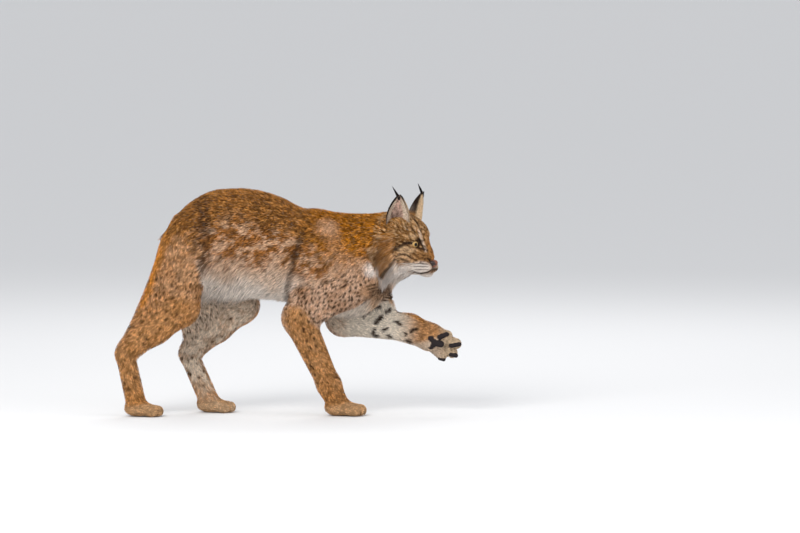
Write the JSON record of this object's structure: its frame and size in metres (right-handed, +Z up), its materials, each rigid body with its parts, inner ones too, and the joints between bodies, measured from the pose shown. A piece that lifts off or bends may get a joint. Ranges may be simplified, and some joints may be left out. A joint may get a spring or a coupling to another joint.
{
  "type": "eurasian lynx",
  "caption": "Eurasian lynx at life size, walking, left foreleg reaching forward with its pads to the viewer, head turned a little to its right.",
  "frame": {"origin": "on the floor under the middle of the animal's box", "axes": "+X the way the animal walks, +Y its left, +Z up"},
  "size_m": [0.927, 0.2278, 0.6131],
  "materials": {
    "coat": "matte",
    "eye": "gloss",
    "nose": "satin"
  },
  "bodies": {
    "root": {"torso": "coat", "neck": "coat", "head": "coat", "ear_left": "coat", "ear_right": "coat", "eye_left": "eye", "eye_right": "eye", "nose": "nose", "tail": "coat", "foreleg_left_upper": "coat", "foreleg_left_lower": "coat", "forepaw_left": "coat", "foreleg_right_upper": "coat", "foreleg_right_lower": "coat", "forepaw_right": "coat", "hindleg_left_upper": "coat", "hindleg_left_lower": "coat", "hindpaw_left": "coat", "hindleg_right_upper": "coat", "hindleg_right_lower": "coat", "hindpaw_right": "coat"}
  },
  "joints": []
}
